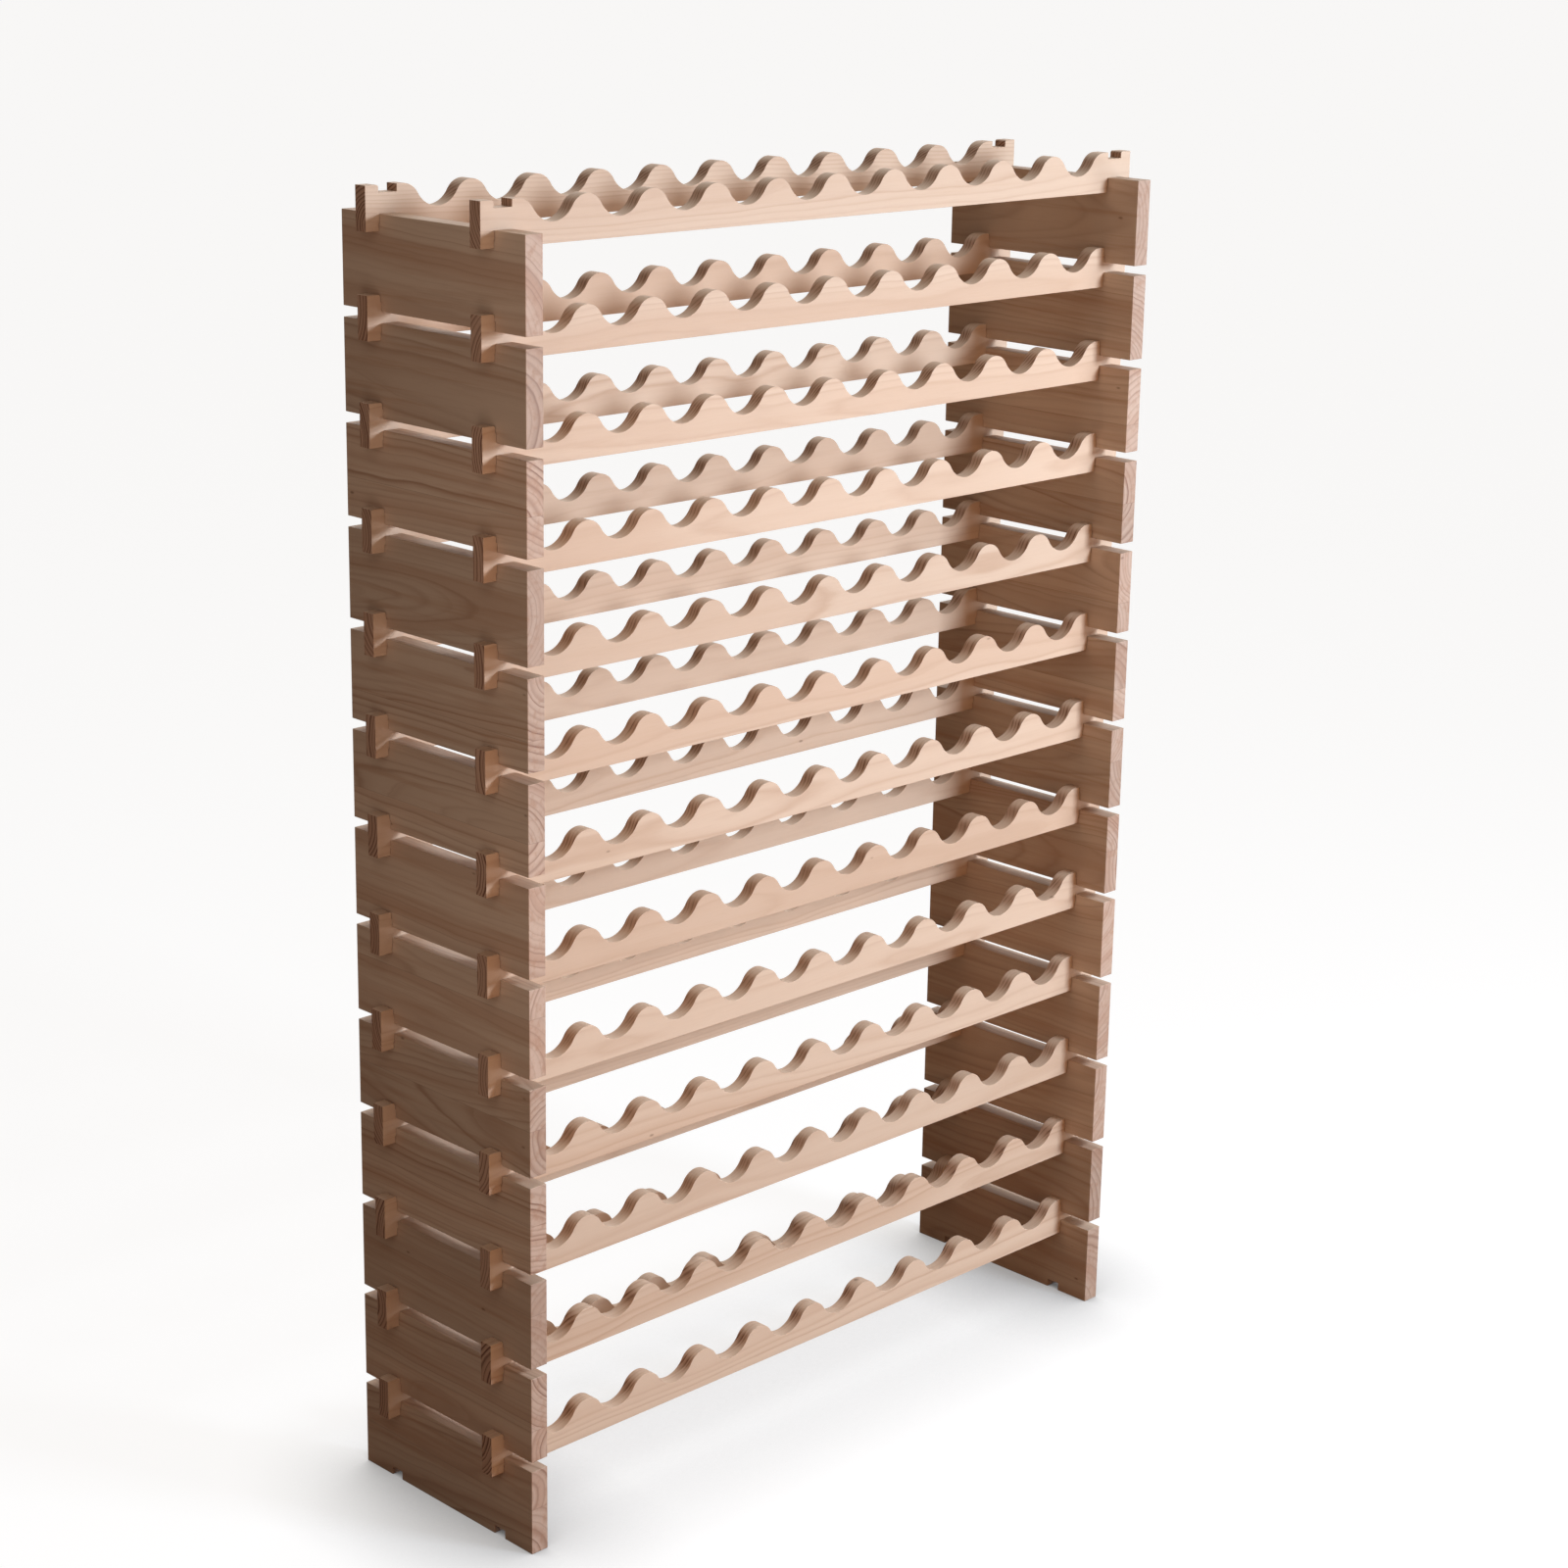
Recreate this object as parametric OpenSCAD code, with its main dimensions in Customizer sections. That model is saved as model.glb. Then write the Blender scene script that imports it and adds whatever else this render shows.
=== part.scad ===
// Modular wine rack: storeys stacked on each other with no fasteners.
// A storey is two side panels and two scalloped rails, and every crossing is a cross-lap
// joint: a notch in the panel's edge meets a notch in the rail's edge.
// Origin on the floor, under the middle of the rack. +X right, +Y back, +Z up, millimetres.

/* [Storeys] */
// Number of storeys, one above the other
storeys = 13; // [1:1:13]
// Width over the outer faces of the left and right panels
width_over_panels = 984; // [980:1:990]

/* [Side panels] */
// Depth of a panel, front to back
panel_depth = 300; // [260:5:360]
// Height of a panel
panel_height = 102; // [90:1:140]
// Thickness of a panel
panel_thick = 23; // [18:1:24]

/* [Rails] */
// Height of a rail
rail_height = 48; // [46:1:60]
// Thickness of a rail
rail_thick = 17; // [12:1:24]
// Length of a rail that stands out past each panel
rail_overhang = 18; // [10:1:40]
// Distance from a panel's front or back end to the rail's near face
rail_inset = 48; // [30:1:70]

/* [Bottle cradles] */
// Number of cradles along a rail
cradles = 10; // [2:1:10]
// Spacing of the cradles, centre to centre
cradle_pitch = 92; // [84:1:93]
// Depth of a cradle below the tops of the humps
cradle_depth = 26; // [16:1:30]
// Radius of the round humps between the cradles
hump_radius = 23; // [12:1:28]

/* [Cross-lap joints] */
// Depth of the notches in a panel's top and bottom edges
panel_notch = 10; // [6:1:14]
// Depth of the notches in a rail's top and bottom edges
rail_notch = 8; // [5:1:9]
// Side clearance on each side of a joint
joint_gap = 0.5; // [0.2:0.1:1]
// Radius that eases the outer corner of a rail's upper notch
lead_in = 3; // [1:0.5:5]

/* [Hidden] */
$fn = 96;
storey_pitch = panel_height + rail_height - 2 * rail_notch - 2 * panel_notch;
rail_base = panel_height - rail_notch - panel_notch;
rail_length = width_over_panels + 2 * rail_overhang;
panel_inner_x = width_over_panels / 2 - panel_thick;
rail_centre_y = panel_depth / 2 - rail_inset - rail_thick / 2;

// Hump and dip are two arcs that meet in one smooth S between a hump's top and a dip's floor
half_pitch = cradle_pitch / 2;
dip_radius = (half_pitch * half_pitch + cradle_depth * cradle_depth) / (2 * cradle_depth) - hump_radius;
arc_angle = 2 * atan(cradle_depth / half_pitch);
arcs_meet_z = rail_height - hump_radius * (1 - cos(arc_angle));
// Added to the radius of a rounding, so that it crosses its neighbour instead of only touching it
arc_excess = 0.02;

panel_colour = "#c8a586";
rail_colour = "#e8cfb4";

function tag(storey) = storey < 10 ? str("0", storey) : str(storey);

// One panel, standing on z = 0 with its middle at x = 0
module side_panel() {
    notch_width = rail_thick + 2 * joint_gap;
    difference() {
        translate([-panel_thick / 2, -panel_depth / 2, 0])
            cube([panel_thick, panel_depth, panel_height]);
        for (y = [-rail_centre_y, rail_centre_y])
            for (z = [-panel_notch, panel_height - panel_notch])
                translate([-panel_thick, y - notch_width / 2, z])
                    cube([2 * panel_thick, notch_width, 2 * panel_notch]);
    }
}

// The cross-lap notches at the right end of a rail, upper and lower
module rail_notches() {
    notch_left = panel_inner_x - joint_gap;
    notch_right = panel_inner_x + panel_thick + joint_gap;
    translate([notch_left, rail_height - rail_notch])
        square([notch_right - notch_left, 2 * rail_notch]);
    translate([notch_left, -rail_notch])
        square([notch_right - notch_left, 2 * rail_notch]);
    difference() {
        translate([notch_right, rail_height - lead_in])
            square(lead_in);
        translate([notch_right + lead_in, rail_height - lead_in])
            circle(lead_in + arc_excess);
    }
}

// What one cradle takes out of a rail: the dip, and the round shoulders of the humps beside it
module cradle_cut() {
    translate([0, rail_height - cradle_depth + dip_radius])
        circle(dip_radius);
    difference() {
        translate([-half_pitch, arcs_meet_z])
            square([cradle_pitch, cradle_depth]);
        for (side = [-1, 1])
            translate([side * half_pitch, rail_height - hump_radius])
                circle(hump_radius + arc_excess);
    }
}

// A rail's outline, x along the rail and y up from its lower edge
module rail_outline() {
    difference() {
        translate([-rail_length / 2, 0])
            square([rail_length, rail_height]);
        for (cradle = [0:cradles - 1])
            translate([(cradle - (cradles - 1) / 2) * cradle_pitch, 0])
                cradle_cut();
        for (side = [0, 1])
            mirror([side, 0])
                rail_notches();
    }
}

// One rail, its middle at y = 0 and its lower edge at z = 0
module rail() {
    translate([0, rail_thick / 2, 0])
        rotate([90, 0, 0])
            linear_extrude(rail_thick)
                rail_outline();
}

module left_panel(storey) {
    color(panel_colour)
        translate([-width_over_panels / 2 + panel_thick / 2, 0, (storey - 1) * storey_pitch])
            side_panel();
}

module right_panel(storey) {
    color(panel_colour)
        translate([width_over_panels / 2 - panel_thick / 2, 0, (storey - 1) * storey_pitch])
            side_panel();
}

module front_rail(storey) {
    color(rail_colour)
        translate([0, -rail_centre_y, (storey - 1) * storey_pitch + rail_base])
            rail();
}

module back_rail(storey) {
    color(rail_colour)
        translate([0, rail_centre_y, (storey - 1) * storey_pitch + rail_base])
            rail();
}

for (storey = [1:storeys]) {
    left_panel(storey);
    right_panel(storey);
    front_rail(storey);
    back_rail(storey);
}
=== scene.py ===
"""Looks of the modular wine rack: bare pine side panels and scalloped rails, in a plain pale studio."""

from math import cos, radians, sin

import bpy
from mathutils import Matrix, Vector


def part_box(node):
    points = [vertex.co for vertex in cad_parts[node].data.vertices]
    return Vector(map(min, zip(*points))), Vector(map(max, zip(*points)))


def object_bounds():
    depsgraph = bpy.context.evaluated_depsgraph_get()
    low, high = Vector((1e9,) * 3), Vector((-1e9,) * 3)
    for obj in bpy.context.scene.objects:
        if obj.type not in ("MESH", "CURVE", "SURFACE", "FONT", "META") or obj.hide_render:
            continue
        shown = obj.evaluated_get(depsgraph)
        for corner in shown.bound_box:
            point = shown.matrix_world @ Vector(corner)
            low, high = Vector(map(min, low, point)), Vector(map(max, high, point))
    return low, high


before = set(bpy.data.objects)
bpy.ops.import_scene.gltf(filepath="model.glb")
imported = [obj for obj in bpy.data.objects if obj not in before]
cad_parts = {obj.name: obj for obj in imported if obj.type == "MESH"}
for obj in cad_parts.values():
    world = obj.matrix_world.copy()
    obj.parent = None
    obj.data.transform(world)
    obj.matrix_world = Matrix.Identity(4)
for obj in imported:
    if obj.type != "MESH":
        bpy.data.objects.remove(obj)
cad_low, cad_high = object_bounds()

MM = 0.001


def colour(red, green, blue):
    return (red, green, blue, 1.0)


# Camera, in metres and degrees, aimed at a point given from the middle of the rack
AIM_OFFSET = Vector((0.036, 0.0, 0.017))
CAMERA_SIDE_ANGLE = 45.04
CAMERA_DOWN_ANGLE = 16.24
CAMERA_ROLL = 1.045
CAMERA_DISTANCE = 3.806
LENS_MM = 72.78
SENSOR_MM = 36.0

# Edges that a plane and sandpaper have eased
WELD_DISTANCE = 0.02 * MM
FLAT_ANGLE = 1.0
EASED_PANEL = 0.7 * MM
EASED_RAIL = 0.4 * MM
EASED_ANGLE = 35.0
EASED_STEPS = 2

# Floor and background, in metres
FLOOR_REACH = 150.0
FLOOR_TINT = colour(1.0, 0.995, 0.99)
FLOOR_GLOW = 0.86
FLOOR_LIT = colour(0.20, 0.20, 0.20)
FLOOR_DIM = colour(0.18, 0.11, 0.075)
# Painted contact shadow on the floor: its glow darkens by ambient occlusion within this reach, to this
# power, from this many samples
PAINTED_SHADOW_REACH = 0.18
PAINTED_SHADOW_POWER = 1.2
PAINTED_SHADOW_SAMPLES = 16
BACKGROUND = colour(0.935, 0.93, 0.92)
AMBIENT_TINT = colour(1.0, 0.81, 0.69)
AMBIENT_STRENGTH = 0.105

# Softboxes: name, place from the middle of the rack's top, width and height in metres, watts, tint
SOFTBOXES = (
    ("key", (0.95, -2.65, 0.25), (0.6, 0.6), 73.0, (0.87, 1.02, 1.21)),
    ("low_key", (1.7, -2.3, -0.9), (1.2, 1.2), 19.0, (0.95, 1.0, 1.08)),
    ("front_fill", (-0.45, -2.6, -0.6), (1.5, 1.5), 12.0, (1.0, 0.55, 0.28)),
    ("top_fill", (0.2, -0.6, 1.6), (1.2, 1.2), 6.0, (1.0, 0.98, 0.95)),
    ("left_fill", (-1.3, -0.6, -0.1), (0.5, 2.0), 3.3, (1.0, 0.91, 0.85)),
)
# Height that the front softboxes are aimed at, as a share of the rack's height
BODY_AIM_SHARE = 0.55

# A wide sun behind the rack
BACK_FILL_SIDE_ANGLE = 140.0
BACK_FILL_UP_ANGLE = 35.0
BACK_FILL_STRENGTH = 1.6
BACK_FILL_SPREAD = 60.0
BACK_FILL_TINT = (1.0, 0.97, 0.94)

# A board's seed, and how the draws made from it are kept apart
FIRST_SEED = 1.0
SEED_STEP = 0.7317
STAVE_SEED_STEP = 0.371
SEED_TO_PATTERN = 41.0
GLUE_DRAW = 0.11
PITH_DRAW = 0.23
LEAN_DRAW = 0.47
RISE_DRAW = 0.61

# Sizes of the wood's patterns along the grain, through the board and up it, in millimetres
WAVER_SIZE = (140.0, 22.0, 22.0)
STREAK_SIZE = (260.0, 9.0, 9.0)
FIBRE_SIZE = (28.0, 1 / 2.2, 1 / 2.2)
KNOT_CELL_SIZE = (70.0, 60.0, 30.0)

# How fine each pattern's noise is, and the two noise levels between which the pattern comes in
SMOOTH_DETAIL = 1.0
WAVER_DETAIL = 3.0
STREAK_DETAIL = 4.0
FIBRE_DETAIL = 3.0
WOOD_NOISE_ROUGHNESS = 0.6
ZONE_LEVELS = (0.42, 0.68)
STREAK_LEVELS = (0.45, 0.75)
FIBRE_LEVELS = (0.5, 0.8)

# Where a face counts as cut across the fibres: its normal's share along the grain
END_STARTS = 0.45
END_FULL = 0.95

# A ring from one year's start to the next: place in the ring and darkness there
RING_STOPS = ((0.0, 0.55), (0.10, 0.05), (0.35, 0.0), (0.7, 0.3), (0.9, 1.0), (1.0, 0.55))
# The higher, the fewer years have a strong latewood line
FAINT_RING_BIAS = 3.0
# Rings are moved by up to this many ring widths, at this many bends to a ring
UNEVEN_RINGS = 1.6
UNEVEN_RATE = 0.6
# Separate slices of the same noise
UNEVEN_SLICE = 7.0
ZONE_SLICE = 3.0

# Glue line: millimetres from its middle where it starts to fade and is gone, and how dark it is
GLUE_CORE = 0.15
GLUE_EDGE = 0.45
GLUE_SHARE = 0.3
# Knots: the same, with the distances as shares of a cell
KNOT_CORE = 0.02
KNOT_EDGE = 0.07
KNOT_SHADE = 0.55
# How much of the latewood's colour the strongest fibres take
FIBRE_SHARE = 0.16

# Relief in millimetres, what fibres and latewood add to the roughness, and the gloss of bare wood
LATEWOOD_RELIEF = 0.05
FIBRE_RELIEF = 0.10
GLUE_RELIEF = -0.08
FIBRE_ROUGHNESS = 0.22
LATEWOOD_ROUGHNESS = -0.10
WOOD_IOR = 1.5
WOOD_SPECULAR = 0.35

# The two kinds of board. Lengths are in millimetres, lean is a slope, and the rest are shares.
PANEL_WOOD = {
    "grain": "Y",
    "glue_spread": 18.0,
    "glued_share": 0.5,
    "pith_near": 22.0,
    "pith_far": 75.0,
    "pith_rise": 75.0,
    "faint_ring": 0.30,
    "lean": 0.10,
    "wander": 9.0,
    "wander_length": 240.0,
    "waver": 2.2,
    "ring_narrow": 5.0,
    "ring_wide": 10.0,
    "zone_width": 26.0,
    "earlywood": colour(0.72, 0.535, 0.39),
    "heartwood": colour(0.62, 0.41, 0.28),
    "latewood": colour(0.36, 0.18, 0.10),
    "end_latewood": colour(0.27, 0.13, 0.075),
    "streak_colour": colour(0.52, 0.30, 0.18),
    "streak_share": 0.6,
    "knot": colour(0.14, 0.06, 0.03),
    "knot_share": 0.3,
    "plain_figure": 0.5,
    "face_contrast": 0.78,
    "end_contrast": 1.15,
    "end_colour": colour(0.83, 0.79, 0.82),
    "tone": 0.20,
    "roughness": 0.50,
}

RAIL_WOOD = dict(
    PANEL_WOOD,
    grain="X",
    glued_share=0.0,
    pith_near=30.0,
    pith_far=90.0,
    pith_rise=30.0,
    faint_ring=0.55,
    lean=0.02,
    wander=10.0,
    wander_length=420.0,
    waver=2.0,
    ring_narrow=3.8,
    ring_wide=6.4,
    zone_width=30.0,
    earlywood=colour(0.72, 0.53, 0.385),
    heartwood=colour(0.67, 0.465, 0.325),
    latewood=colour(0.46, 0.25, 0.14),
    end_latewood=colour(0.17, 0.075, 0.04),
    streak_colour=colour(0.62, 0.41, 0.265),
    streak_share=0.25,
    plain_figure=0.6,
    face_contrast=0.5,
    end_contrast=1.7,
    end_colour=colour(0.80, 0.68, 0.64),
    tone=0.08,
)


# ---------------------------------------------------------------- shader building


class Shader:
    """One material's node tree. An input is a number, a colour or another node's output."""

    def __init__(self, name):
        self.material = bpy.data.materials.new(name)
        self.material.use_nodes = True
        self.nodes = self.material.node_tree.nodes
        self.links = self.material.node_tree.links
        self.nodes.clear()

    def feed(self, socket, value):
        if isinstance(value, bpy.types.NodeSocket):
            self.links.new(value, socket)
        else:
            socket.default_value = value

    def add(self, kind, inputs=None, output=0, **settings):
        node = self.nodes.new("ShaderNode" + kind)
        for name, value in settings.items():
            setattr(node, name, value)
        for socket, value in (inputs or {}).items():
            self.feed(node.inputs[socket], value)
        return node.outputs[output]

    def math(self, operation, first, second=0.0, third=0.0):
        inputs = {0: first, 1: second, 2: third}
        return self.add("Math", inputs, operation=operation)

    def between(self, low, high, share):
        """low where share is 0, high where it is 1."""
        return self.math("MULTIPLY_ADD", share, high - low, low)

    def vector(self, x, y, z):
        return self.add("CombineXYZ", {0: x, 1: y, 2: z})

    def split(self, vector):
        node = self.nodes.new("ShaderNodeSeparateXYZ")
        self.feed(node.inputs[0], vector)
        return node.outputs[0], node.outputs[1], node.outputs[2]

    def chances(self, seed, draw):
        """Three random numbers from 0 to 1 that depend only on the seed and the draw."""
        moved = self.math("ADD", seed, draw)
        numbers = self.add("TexWhiteNoise", {"W": moved}, "Color", noise_dimensions="1D")
        return self.split(numbers)

    def noise(self, vector, detail=2.0, roughness=0.5, output="Fac"):
        inputs = {"Vector": vector, "Scale": 1.0, "Detail": detail, "Roughness": roughness}
        return self.add("TexNoise", inputs, output, noise_dimensions="3D")

    def steps(self, value, low, high, low_out=0.0, high_out=1.0):
        """A smooth change from low_out to high_out as value goes from low to high."""
        inputs = {
            "Value": value,
            "From Min": low,
            "From Max": high,
            "To Min": low_out,
            "To Max": high_out,
        }
        return self.add("MapRange", inputs, interpolation_type="SMOOTHSTEP")

    def ramp(self, value, stops):
        node = self.nodes.new("ShaderNodeValToRGB")
        elements = node.color_ramp.elements
        while len(elements) < len(stops):
            elements.new(0.5)
        for element, (place, level) in zip(elements, stops):
            element.position = place
            element.color = colour(level, level, level)
        self.feed(node.inputs[0], value)
        return node.outputs[0]

    def mix(self, share, first, second, blend="MIX"):
        node = self.nodes.new("ShaderNodeMix")
        node.data_type = "RGBA"
        node.blend_type = blend
        self.feed(node.inputs[0], share)
        self.feed(node.inputs[6], first)
        self.feed(node.inputs[7], second)
        return node.outputs[2]

    def finish(self, surface):
        output = self.nodes.new("ShaderNodeOutputMaterial")
        self.links.new(surface, output.inputs["Surface"])
        return self.material


# ---------------------------------------------------------------- pine


def board_place(s, grain):
    """The place in the board, in millimetres from its middle: along the grain, through it and up it."""
    place = s.add("TexCoord", output="Object")
    centre = s.add(
        "Attribute", output="Vector", attribute_type="OBJECT", attribute_name="board_centre"
    )
    local = s.add("VectorMath", {0: place, 1: centre}, operation="SUBTRACT")
    local = s.add("VectorMath", {0: local, "Scale": 1 / MM}, operation="SCALE")
    x, y, z = s.split(local)
    if grain == "X":
        return x, y, z
    return y, x, z


def end_grain(s, grain):
    """1 on a face cut across the fibres, 0 on a face along them."""
    normal = s.add("TexCoord", output="Normal")
    x, y, z = s.split(normal)
    cut = s.math("ABSOLUTE", x if grain == "X" else y)
    return s.steps(cut, END_STARTS, END_FULL)


def stretched(s, place, size, shift):
    """Coordinates for a pattern that is size long, thick and high, moved along the grain by shift."""
    along, through, up = place
    length, thickness, height = size
    return s.vector(
        s.math("MULTIPLY_ADD", along, 1 / length, shift),
        s.math("MULTIPLY", through, 1 / thickness),
        s.math("MULTIPLY", up, 1 / height),
    )


def glue_up(s, wood, place, seed):
    """Glues some boards up from two staves. Returns the stave's seed, how strong the board's figure is,
    and 1 on the glue line."""
    up = place[2]
    glue_height, has_glue, figure = s.chances(seed, GLUE_DRAW)
    figure = s.between(wood["plain_figure"], 1.0, figure)
    glue_height = s.between(-wood["glue_spread"], wood["glue_spread"], glue_height)
    has_glue = s.math("LESS_THAN", has_glue, wood["glued_share"])
    upper_stave = s.math("MULTIPLY", s.math("GREATER_THAN", up, glue_height), has_glue)
    seed = s.math("MULTIPLY_ADD", upper_stave, STAVE_SEED_STEP, seed)
    distance = s.math("ABSOLUTE", s.math("SUBTRACT", up, glue_height))
    line = s.math("MULTIPLY", s.steps(distance, GLUE_CORE, GLUE_EDGE, 1.0, 0.0), has_glue)
    return seed, figure, line


def pith_distance(s, wood, place, shift, draws):
    """Millimetres from the pith, which lies beside the wide face, leans and wanders along the trunk."""
    along, through, up = place
    side, reach, rise, lean_through, lean_up = draws
    side = s.math("SIGN", s.math("SUBTRACT", side, 0.5))
    pith_through = s.math("MULTIPLY", side, s.between(wood["pith_near"], wood["pith_far"], reach))
    pith_up = s.between(-wood["pith_rise"], wood["pith_rise"], rise)
    lean_through = s.between(-wood["lean"], wood["lean"], lean_through)
    lean_up = s.between(-wood["lean"], wood["lean"], lean_up)
    wander_at = s.vector(s.math("MULTIPLY", along, 1 / wood["wander_length"]), shift, 0.0)
    wander_through, wander_up, _ = s.split(s.noise(wander_at, output="Color"))
    wander_through = s.between(-wood["wander"], wood["wander"], wander_through)
    wander_up = s.between(-wood["wander"], wood["wander"], wander_up)
    off_through = s.math("SUBTRACT", through, s.math("MULTIPLY_ADD", along, lean_through, pith_through))
    off_through = s.math("SUBTRACT", off_through, wander_through)
    off_up = s.math("SUBTRACT", up, s.math("MULTIPLY_ADD", along, lean_up, pith_up))
    off_up = s.math("SUBTRACT", off_up, wander_up)
    squares = s.math("MULTIPLY_ADD", off_up, off_up, s.math("MULTIPLY", off_through, off_through))
    radius = s.math("SQRT", squares)
    waver = s.noise(stretched(s, place, WAVER_SIZE, shift), WAVER_DETAIL)
    return s.math("ADD", radius, s.between(-wood["waver"], wood["waver"], waver))


def growth_rings(s, wood, radius, spacing, shift):
    """0 in pale earlywood, rising slowly to 1 in the latewood line that ends a year. Some are faint."""
    spacing = s.between(wood["ring_narrow"], wood["ring_wide"], spacing)
    ring = s.math("DIVIDE", radius, spacing)
    uneven_at = s.vector(s.math("MULTIPLY", ring, UNEVEN_RATE), shift, UNEVEN_SLICE)
    uneven = s.noise(uneven_at, SMOOTH_DETAIL)
    ring = s.math("MULTIPLY_ADD", uneven, UNEVEN_RINGS, ring)
    year = s.math("ADD", s.math("FLOOR", ring), shift)
    strong = s.add("TexWhiteNoise", {"W": year}, "Value", noise_dimensions="1D")
    strong = s.between(wood["faint_ring"], 1.0, s.math("POWER", strong, FAINT_RING_BIAS))
    latewood = s.ramp(s.math("FRACT", ring), RING_STOPS)
    return s.math("MULTIPLY", latewood, strong)


def ringed_colour(s, wood, radius, latewood, figure, end, shift):
    """Earlywood and broad heartwood zones, with the latewood lines over them."""
    contrast = s.math("MULTIPLY", figure, s.between(wood["face_contrast"], wood["end_contrast"], end))
    zone_at = s.vector(s.math("MULTIPLY", radius, 1 / wood["zone_width"]), shift, ZONE_SLICE)
    zone = s.noise(zone_at, SMOOTH_DETAIL)
    pale = s.mix(s.steps(zone, *ZONE_LEVELS), wood["earlywood"], wood["heartwood"])
    line = s.mix(end, wood["latewood"], wood["end_latewood"])
    return s.mix(s.math("MINIMUM", s.math("MULTIPLY", latewood, contrast), 1.0), pale, line)


def pin_knots(s, wood, place, shift):
    """How much small knots darken the wood. A cell of a coarse pattern holds one knot or, mostly, none."""
    cell = s.nodes.new("ShaderNodeTexVoronoi")
    s.feed(cell.inputs["Vector"], stretched(s, place, KNOT_CELL_SIZE, shift))
    cell.inputs["Scale"].default_value = 1.0
    has_knot = s.math("LESS_THAN", s.split(cell.outputs["Color"])[0], wood["knot_share"])
    knot = s.steps(cell.outputs["Distance"], KNOT_CORE, KNOT_EDGE, KNOT_SHADE, 0.0)
    return s.math("MULTIPLY", knot, has_knot)


def pine(name, wood):
    """Planed bare pine. The rings run through the whole board, so that faces, edges and ends agree."""
    s = Shader(name)
    place = board_place(s, wood["grain"])
    end = end_grain(s, wood["grain"])
    seed = s.add("Attribute", output="Fac", attribute_type="OBJECT", attribute_name="board_seed")
    seed, figure, glue_line = glue_up(s, wood, place, seed)
    shift = s.math("MULTIPLY", seed, SEED_TO_PATTERN)

    side, reach, spacing = s.chances(seed, PITH_DRAW)
    lean_through, lean_up, tone = s.chances(seed, LEAN_DRAW)
    rise, _, _ = s.chances(seed, RISE_DRAW)
    draws = side, reach, rise, lean_through, lean_up
    radius = pith_distance(s, wood, place, shift, draws)
    latewood = growth_rings(s, wood, radius, spacing, shift)

    # Long soft streaks, and the fine fibres
    streak_at = stretched(s, place, STREAK_SIZE, shift)
    streak = s.noise(streak_at, STREAK_DETAIL, WOOD_NOISE_ROUGHNESS)
    fibre_at = stretched(s, place, FIBRE_SIZE, shift)
    fibre = s.noise(fibre_at, FIBRE_DETAIL, WOOD_NOISE_ROUGHNESS)

    # Colour
    base = ringed_colour(s, wood, radius, latewood, figure, end, shift)
    streak = s.steps(streak, *STREAK_LEVELS, 0.0, wood["streak_share"])
    base = s.mix(streak, base, wood["streak_colour"])
    base = s.mix(s.steps(fibre, *FIBRE_LEVELS, 0.0, FIBRE_SHARE), base, wood["latewood"])
    base = s.mix(end, base, wood["end_colour"], "MULTIPLY")
    tone = s.between(1.0 - wood["tone"], 1.0, tone)
    base = s.mix(1.0, base, s.vector(tone, tone, tone), "MULTIPLY")
    base = s.mix(pin_knots(s, wood, place, shift), base, wood["knot"])
    base = s.mix(s.math("MULTIPLY", glue_line, GLUE_SHARE), base, wood["knot"])

    # Relief: hard latewood stands a little proud, and cut fibre ends are rough
    height = s.math("MULTIPLY_ADD", latewood, LATEWOOD_RELIEF, s.math("MULTIPLY", fibre, FIBRE_RELIEF))
    height = s.math("MULTIPLY_ADD", glue_line, GLUE_RELIEF, height)
    normal = s.add("Bump", {"Strength": 1.0, "Distance": MM, "Height": height})
    roughness = s.math("MULTIPLY_ADD", fibre, FIBRE_ROUGHNESS, wood["roughness"])
    roughness = s.math("MULTIPLY_ADD", latewood, LATEWOOD_ROUGHNESS, roughness)
    surface = s.add(
        "BsdfPrincipled",
        {
            "Base Color": base,
            "Roughness": roughness,
            "Normal": normal,
            "IOR": WOOD_IOR,
            "Specular IOR Level": WOOD_SPECULAR,
        },
    )
    return s.finish(surface)


# ---------------------------------------------------------------- boards


def ease_edges(piece, width):
    """Rounds a board's sawn edges, without touching the mesh that the frame gave."""
    weld = piece.modifiers.new("weld", "WELD")
    weld.merge_threshold = WELD_DISTANCE
    flatten = piece.modifiers.new("flatten", "DECIMATE")
    flatten.decimate_type = "DISSOLVE"
    flatten.angle_limit = radians(FLAT_ANGLE)
    bevel = piece.modifiers.new("ease", "BEVEL")
    bevel.width = width
    bevel.segments = EASED_STEPS
    bevel.limit_method = "ANGLE"
    bevel.angle_limit = radians(EASED_ANGLE)
    piece.modifiers.new("shade", "WEIGHTED_NORMAL")


def dress_boards():
    """Gives every board its wood, its eased edges, and the seed that makes it unlike the others."""
    panel_look = pine("panel_pine_grain", PANEL_WOOD), EASED_PANEL
    rail_look = pine("rail_pine_grain", RAIL_WOOD), EASED_RAIL
    for number, (name, piece) in enumerate(sorted(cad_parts.items())):
        low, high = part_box(name)
        piece["board_centre"] = [float(v) for v in (low + high) / 2]
        piece["board_seed"] = FIRST_SEED + SEED_STEP * number
        wood, eased = panel_look if "panel" in name else rail_look
        for slot in piece.material_slots:
            slot.material = wood
        ease_edges(piece, eased)


# ---------------------------------------------------------------- studio


def direction(side_angle, up_angle):
    """A unit vector that points side_angle to the right of the front and up_angle above level."""
    side, up = radians(side_angle), radians(up_angle)
    return Vector((sin(side) * cos(up), -cos(side) * cos(up), sin(up)))


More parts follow.
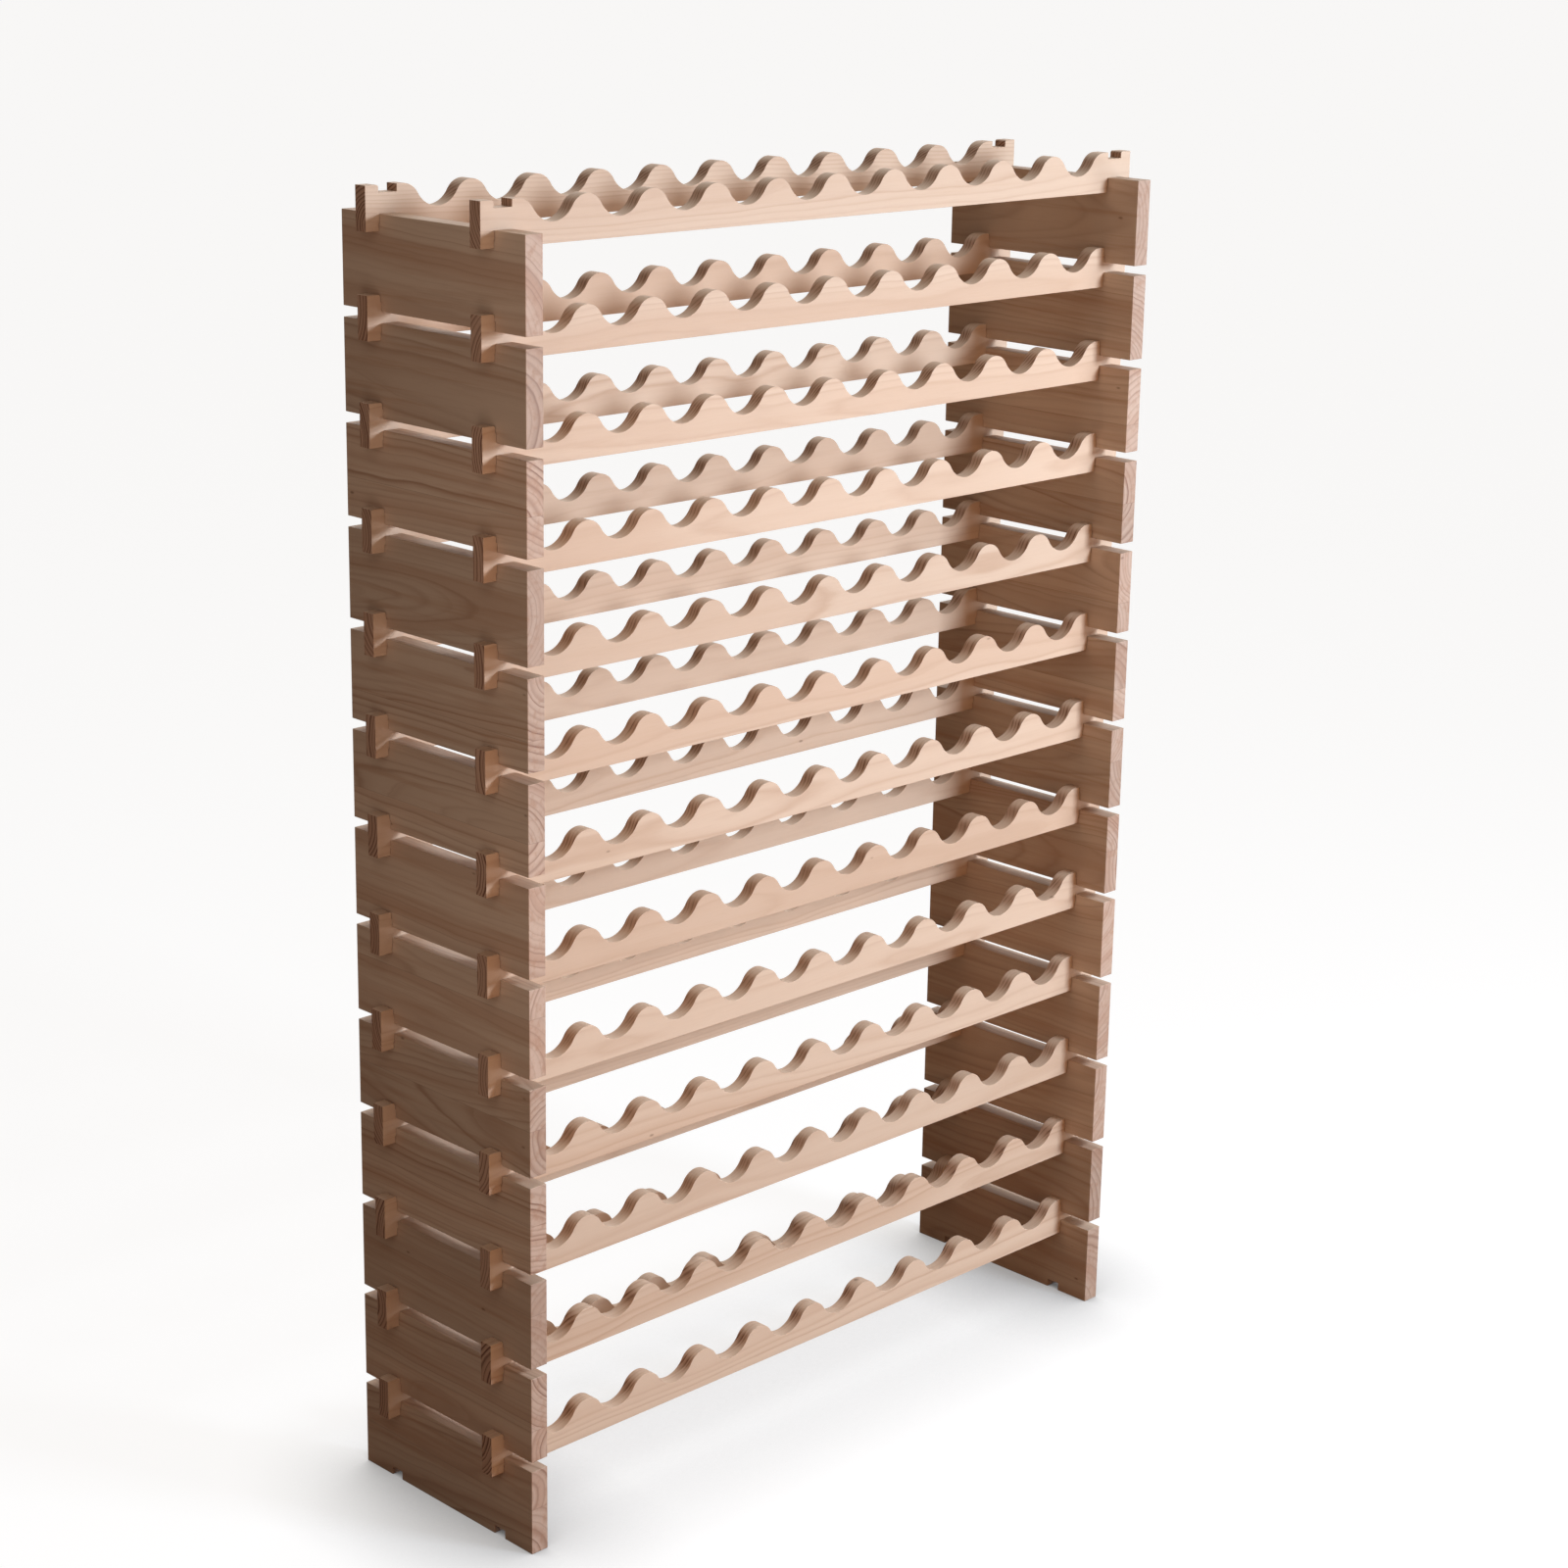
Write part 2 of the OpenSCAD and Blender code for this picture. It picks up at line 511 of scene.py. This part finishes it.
def add_camera():
    middle = (cad_low + cad_high) / 2
    aim = middle + AIM_OFFSET
    towards = -direction(-CAMERA_SIDE_ANGLE, CAMERA_DOWN_ANGLE)
    data = bpy.data.cameras.new("camera")
    data.lens = LENS_MM
    data.sensor_width = SENSOR_MM
    data.clip_end = 3 * FLOOR_REACH
    camera = bpy.data.objects.new("camera", data)
    turn = towards.to_track_quat("-Z", "Y").to_matrix() @ Matrix.Rotation(radians(CAMERA_ROLL), 3, "Z")
    camera.matrix_world = Matrix.Translation(aim - CAMERA_DISTANCE * towards) @ turn.to_4x4()
    bpy.context.scene.collection.objects.link(camera)
    bpy.context.scene.camera = camera


def add_floor():
    """A pale floor: nearly white to the camera, dim to the rack, so that little light comes up from it.
    Near the rack its glow to the camera is darkened by ambient occlusion, which paints a contact shadow.
    """
    s = Shader("floor")
    # Painted contact shadow: ambient occlusion darkens the floor's glow near the rack
    open_share = s.add("AmbientOcclusion", {"Distance": PAINTED_SHADOW_REACH}, "AO", samples=PAINTED_SHADOW_SAMPLES)
    glow_strength = s.math("MULTIPLY", s.math("POWER", open_share, PAINTED_SHADOW_POWER), FLOOR_GLOW)
    glow = s.add("Emission", {"Color": FLOOR_TINT, "Strength": glow_strength})
    lit = s.add("BsdfDiffuse", {"Color": FLOOR_LIT})
    pale = s.add("AddShader", {0: glow, 1: lit})
    dim = s.add("BsdfDiffuse", {"Color": FLOOR_DIM})
    seen = s.add("LightPath", output="Is Camera Ray")
    material = s.finish(s.add("MixShader", {0: seen, 1: dim, 2: pale}))
    # One triangle, because an edge inside the floor would show as a faint line
    mesh = bpy.data.meshes.new("floor")
    corners = [2 * FLOOR_REACH * direction(turn, 0) for turn in (0, 120, 240)]
    mesh.from_pydata(corners, [], [(0, 1, 2)])
    mesh.materials.append(material)
    floor = bpy.data.objects.new("floor", mesh)
    bpy.context.scene.collection.objects.link(floor)


def add_world():
    """An even fill for the rack, behind a plain pale background."""
    world = bpy.data.worlds.new("studio")
    world.use_nodes = True
    nodes, links = world.node_tree.nodes, world.node_tree.links
    nodes.clear()
    fill = nodes.new("ShaderNodeBackground")
    fill.inputs["Color"].default_value = AMBIENT_TINT
    fill.inputs["Strength"].default_value = AMBIENT_STRENGTH
    seen = nodes.new("ShaderNodeBackground")
    seen.inputs["Color"].default_value = BACKGROUND
    path = nodes.new("ShaderNodeLightPath")
    mix = nodes.new("ShaderNodeMixShader")
    output = nodes.new("ShaderNodeOutputWorld")
    links.new(path.outputs["Is Camera Ray"], mix.inputs[0])
    links.new(fill.outputs[0], mix.inputs[1])
    links.new(seen.outputs[0], mix.inputs[2])
    links.new(mix.outputs[0], output.inputs["Surface"])
    bpy.context.scene.world = world


def add_softbox(name, place, aim, size, power, tint):
    data = bpy.data.lights.new(name, "AREA")
    data.shape = "RECTANGLE"
    data.size, data.size_y = size
    data.energy = power
    data.color = tint
    box = bpy.data.objects.new(name, data)
    box.location = place
    box.rotation_euler = (place - aim).to_track_quat("Z", "Y").to_euler()
    box.visible_camera = False
    bpy.context.scene.collection.objects.link(box)


def add_sun(name, side_angle, up_angle, strength, spread, tint):
    data = bpy.data.lights.new(name, "SUN")
    data.energy = strength
    data.angle = radians(spread)
    data.color = tint
    sun = bpy.data.objects.new(name, data)
    sun.rotation_euler = direction(side_angle, up_angle).to_track_quat("Z", "Y").to_euler()
    bpy.context.scene.collection.objects.link(sun)


def add_lights():
    """A softbox in front, to the right and just above the top storey, and weaker lights all round."""
    top = Vector((0.0, 0.0, cad_high.z))
    body = top * BODY_AIM_SHARE
    for name, from_top, size, power, tint in SOFTBOXES:
        place = top + Vector(from_top)
        left_side = Vector((cad_low.x, 0.0, place.z))
        aim = {"top_fill": top, "left_fill": left_side}.get(name, body)
        add_softbox(name, place, aim, size, power, tint)
    add_sun(
        "back_fill",
        BACK_FILL_SIDE_ANGLE,
        BACK_FILL_UP_ANGLE,
        BACK_FILL_STRENGTH,
        BACK_FILL_SPREAD,
        BACK_FILL_TINT,
    )


bpy.context.scene.view_settings.view_transform = "Standard"
add_camera()
add_floor()
add_world()
add_lights()
dress_boards()
